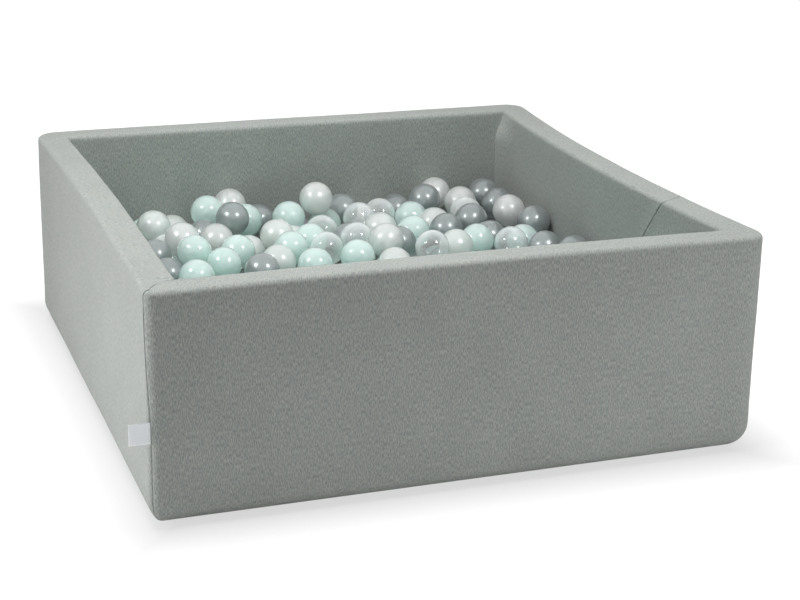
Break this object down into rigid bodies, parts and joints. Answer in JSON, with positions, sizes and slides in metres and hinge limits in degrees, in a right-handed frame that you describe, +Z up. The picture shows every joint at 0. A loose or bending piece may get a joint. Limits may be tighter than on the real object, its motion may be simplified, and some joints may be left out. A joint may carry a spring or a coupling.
{
  "type": "ball pit",
  "caption": "Square foam-walled ball pit with a soft knitted cover, filled with loose plastic balls in four finishes.",
  "frame": {"origin": "middle of the underside, on the floor", "axes": "+Z up, -Y towards the front wall, +X towards the right wall"},
  "size_m": [1.1304, 1.1043, 0.4],
  "materials": {
    "knit": "grey melange knitted jersey",
    "lining": "plain grey knitted lining",
    "foam": "open-cell upholstery foam",
    "zip_tape": "woven tape",
    "zip_coil": "nylon coil",
    "zip_metal": "satin",
    "ribbon": "white satin ribbon",
    "packed_balls": "semi-gloss",
    "pearl": "pearlescent",
    "silver": "metallic grey",
    "mint": "gloss",
    "clear": "clear"
  },
  "bodies": {
    "pit": {"front_cover_strip": "knit", "rear_cover_strip": "knit", "floor_mat_cover": "lining", "base_panel": "lining", "front_foam_board": "foam", "right_foam_board": "foam", "back_foam_board": "foam", "left_foam_board": "foam", "floor_mat_foam": "foam", "upper_zip_tape": "zip_tape", "lower_zip_tape": "zip_tape", "upper_zip_coil": "zip_coil", "lower_zip_coil": "zip_coil", "zip_start_stop": "zip_metal", "zip_end_stop": "zip_metal", "rear_ball_bed": "packed_balls", "front_ball_bed": "packed_balls", "mint_ball_09": "mint", "mint_ball_10": "mint"},
    "slider": {"zip_slider": "zip_metal"},
    "pull": {"zip_pull": "zip_metal"},
    "tag": {"side_tag": "ribbon"},
    "pearl_ball_01": {"pearl_ball_01": "pearl"},
    "pearl_ball_02": {"pearl_ball_02": "pearl"},
    "pearl_ball_03": {"pearl_ball_03": "pearl"},
    "pearl_ball_04": {"pearl_ball_04": "pearl"},
    "pearl_ball_05": {"pearl_ball_05": "pearl"},
    "pearl_ball_06": {"pearl_ball_06": "pearl"},
    "pearl_ball_07": {"pearl_ball_07": "pearl"},
    "pearl_ball_08": {"pearl_ball_08": "pearl"},
    "pearl_ball_09": {"pearl_ball_09": "pearl"},
    "pearl_ball_10": {"pearl_ball_10": "pearl"},
    "pearl_ball_11": {"pearl_ball_11": "pearl"},
    "silver_ball_01": {"silver_ball_01": "silver"},
    "silver_ball_02": {"silver_ball_02": "silver"},
    "silver_ball_03": {"silver_ball_03": "silver"},
    "silver_ball_04": {"silver_ball_04": "silver"},
    "silver_ball_05": {"silver_ball_05": "silver"},
    "silver_ball_06": {"silver_ball_06": "silver"},
    "silver_ball_07": {"silver_ball_07": "silver"},
    "silver_ball_08": {"silver_ball_08": "silver"},
    "silver_ball_09": {"silver_ball_09": "silver"},
    "silver_ball_10": {"silver_ball_10": "silver"},
    "silver_ball_11": {"silver_ball_11": "silver"},
    "silver_ball_12": {"silver_ball_12": "silver"},
    "mint_ball_01": {"mint_ball_01": "mint"},
    "mint_ball_02": {"mint_ball_02": "mint"},
    "mint_ball_03": {"mint_ball_03": "mint"},
    "mint_ball_04": {"mint_ball_04": "mint"},
    "mint_ball_05": {"mint_ball_05": "mint"},
    "mint_ball_06": {"mint_ball_06": "mint"},
    "mint_ball_07": {"mint_ball_07": "mint"},
    "mint_ball_08": {"mint_ball_08": "mint"},
    "clear_ball_01": {"clear_ball_01": "clear"},
    "clear_ball_02": {"clear_ball_02": "clear"},
    "clear_ball_03": {"clear_ball_03": "clear"},
    "clear_ball_04": {"clear_ball_04": "clear"},
    "clear_ball_05": {"clear_ball_05": "clear"},
    "clear_ball_06": {"clear_ball_06": "clear"},
    "clear_ball_07": {"clear_ball_07": "clear"}
  },
  "joints": [
    {"name": "zip_slide", "type": "slide", "parent": "pit", "child": "slider", "axis": [-1, 0, 0], "range_m": [0, 0.839]},
    {"name": "pull_swing", "type": "hinge", "parent": "slider", "child": "pull", "pos_m": [0.4197, 0.55241, 0.075], "axis": [0, 0, 1], "range_deg": [0, 180]},
    {"name": "tag_swing", "type": "hinge", "parent": "pit", "child": "tag", "pos_m": [-0.54543, -0.54473, 0.168], "axis": [0, 0, 1], "range_deg": [-55, 130]},
    {"name": "pearl_ball_01_lift", "type": "slide", "parent": "pit", "child": "pearl_ball_01", "axis": [0, 0, 1], "range_m": [0, 0.26]},
    {"name": "pearl_ball_02_lift", "type": "slide", "parent": "pit", "child": "pearl_ball_02", "axis": [0, 0, 1], "range_m": [0, 0.26]},
    {"name": "pearl_ball_03_lift", "type": "slide", "parent": "pit", "child": "pearl_ball_03", "axis": [0, 0, 1], "range_m": [0, 0.26]},
    {"name": "pearl_ball_04_lift", "type": "slide", "parent": "pit", "child": "pearl_ball_04", "axis": [0, 0, 1], "range_m": [0, 0.26]},
    {"name": "pearl_ball_05_lift", "type": "slide", "parent": "pit", "child": "pearl_ball_05", "axis": [0, 0, 1], "range_m": [0, 0.26]},
    {"name": "pearl_ball_06_lift", "type": "slide", "parent": "pit", "child": "pearl_ball_06", "axis": [0, 0, 1], "range_m": [0, 0.26]},
    {"name": "pearl_ball_07_lift", "type": "slide", "parent": "pit", "child": "pearl_ball_07", "axis": [0, 0, 1], "range_m": [0, 0.26]},
    {"name": "pearl_ball_08_lift", "type": "slide", "parent": "pit", "child": "pearl_ball_08", "axis": [0, 0, 1], "range_m": [0, 0.26]},
    {"name": "pearl_ball_09_lift", "type": "slide", "parent": "pit", "child": "pearl_ball_09", "axis": [0, 0, 1], "range_m": [0, 0.26]},
    {"name": "pearl_ball_10_lift", "type": "slide", "parent": "pit", "child": "pearl_ball_10", "axis": [0, 0, 1], "range_m": [0, 0.26]},
    {"name": "pearl_ball_11_lift", "type": "slide", "parent": "pit", "child": "pearl_ball_11", "axis": [0, 0, 1], "range_m": [0, 0.26]},
    {"name": "silver_ball_01_lift", "type": "slide", "parent": "pit", "child": "silver_ball_01", "axis": [0, 0, 1], "range_m": [0, 0.26]},
    {"name": "silver_ball_02_lift", "type": "slide", "parent": "pit", "child": "silver_ball_02", "axis": [0, 0, 1], "range_m": [0, 0.26]},
    {"name": "silver_ball_03_lift", "type": "slide", "parent": "pit", "child": "silver_ball_03", "axis": [0, 0, 1], "range_m": [0, 0.26]},
    {"name": "silver_ball_04_lift", "type": "slide", "parent": "pit", "child": "silver_ball_04", "axis": [0, 0, 1], "range_m": [0, 0.26]},
    {"name": "silver_ball_05_lift", "type": "slide", "parent": "pit", "child": "silver_ball_05", "axis": [0, 0, 1], "range_m": [0, 0.26]},
    {"name": "silver_ball_06_lift", "type": "slide", "parent": "pit", "child": "silver_ball_06", "axis": [0, 0, 1], "range_m": [0, 0.26]},
    {"name": "silver_ball_07_lift", "type": "slide", "parent": "pit", "child": "silver_ball_07", "axis": [0, 0, 1], "range_m": [0, 0.26]},
    {"name": "silver_ball_08_lift", "type": "slide", "parent": "pit", "child": "silver_ball_08", "axis": [0, 0, 1], "range_m": [0, 0.26]},
    {"name": "silver_ball_09_lift", "type": "slide", "parent": "pit", "child": "silver_ball_09", "axis": [-0.0847, 0, 0.9964], "range_m": [0, 0.26]},
    {"name": "silver_ball_10_lift", "type": "slide", "parent": "pit", "child": "silver_ball_10", "axis": [0, 0, 1], "range_m": [0, 0.26]},
    {"name": "silver_ball_11_lift", "type": "slide", "parent": "pit", "child": "silver_ball_11", "axis": [-0.0846, -0.0498, 0.9952], "range_m": [0, 0.26]},
    {"name": "silver_ball_12_lift", "type": "slide", "parent": "pit", "child": "silver_ball_12", "axis": [0, 0, 1], "range_m": [0, 0.26]},
    {"name": "mint_ball_01_lift", "type": "slide", "parent": "pit", "child": "mint_ball_01", "axis": [0, 0, 1], "range_m": [0, 0.26]},
    {"name": "mint_ball_02_lift", "type": "slide", "parent": "pit", "child": "mint_ball_02", "axis": [0, 0, 1], "range_m": [0, 0.26]},
    {"name": "mint_ball_03_lift", "type": "slide", "parent": "pit", "child": "mint_ball_03", "axis": [0, 0, 1], "range_m": [0, 0.26]},
    {"name": "mint_ball_04_lift", "type": "slide", "parent": "pit", "child": "mint_ball_04", "axis": [0, 0, 1], "range_m": [0, 0.26]},
    {"name": "mint_ball_05_lift", "type": "slide", "parent": "pit", "child": "mint_ball_05", "axis": [0, 0, 1], "range_m": [0, 0.26]},
    {"name": "mint_ball_06_lift", "type": "slide", "parent": "pit", "child": "mint_ball_06", "axis": [0, 0, 1], "range_m": [0, 0.26]},
    {"name": "mint_ball_07_lift", "type": "slide", "parent": "pit", "child": "mint_ball_07", "axis": [0, 0, 1], "range_m": [0, 0.26]},
    {"name": "mint_ball_08_lift", "type": "slide", "parent": "pit", "child": "mint_ball_08", "axis": [0, 0, 1], "range_m": [0, 0.26]},
    {"name": "clear_ball_01_lift", "type": "slide", "parent": "pit", "child": "clear_ball_01", "axis": [0, 0, 1], "range_m": [0, 0.26]},
    {"name": "clear_ball_02_lift", "type": "slide", "parent": "pit", "child": "clear_ball_02", "axis": [0, 0, 1], "range_m": [0, 0.26]},
    {"name": "clear_ball_03_lift", "type": "slide", "parent": "pit", "child": "clear_ball_03", "axis": [0, 0, 1], "range_m": [0, 0.26]},
    {"name": "clear_ball_04_lift", "type": "slide", "parent": "pit", "child": "clear_ball_04", "axis": [0, 0, 1], "range_m": [0, 0.26]},
    {"name": "clear_ball_05_lift", "type": "slide", "parent": "pit", "child": "clear_ball_05", "axis": [0, 0, 1], "range_m": [0, 0.26]},
    {"name": "clear_ball_06_lift", "type": "slide", "parent": "pit", "child": "clear_ball_06", "axis": [0, 0, 1], "range_m": [0, 0.26]},
    {"name": "clear_ball_07_lift", "type": "slide", "parent": "pit", "child": "clear_ball_07", "axis": [0, 0, 1], "range_m": [0, 0.26]}
  ]
}
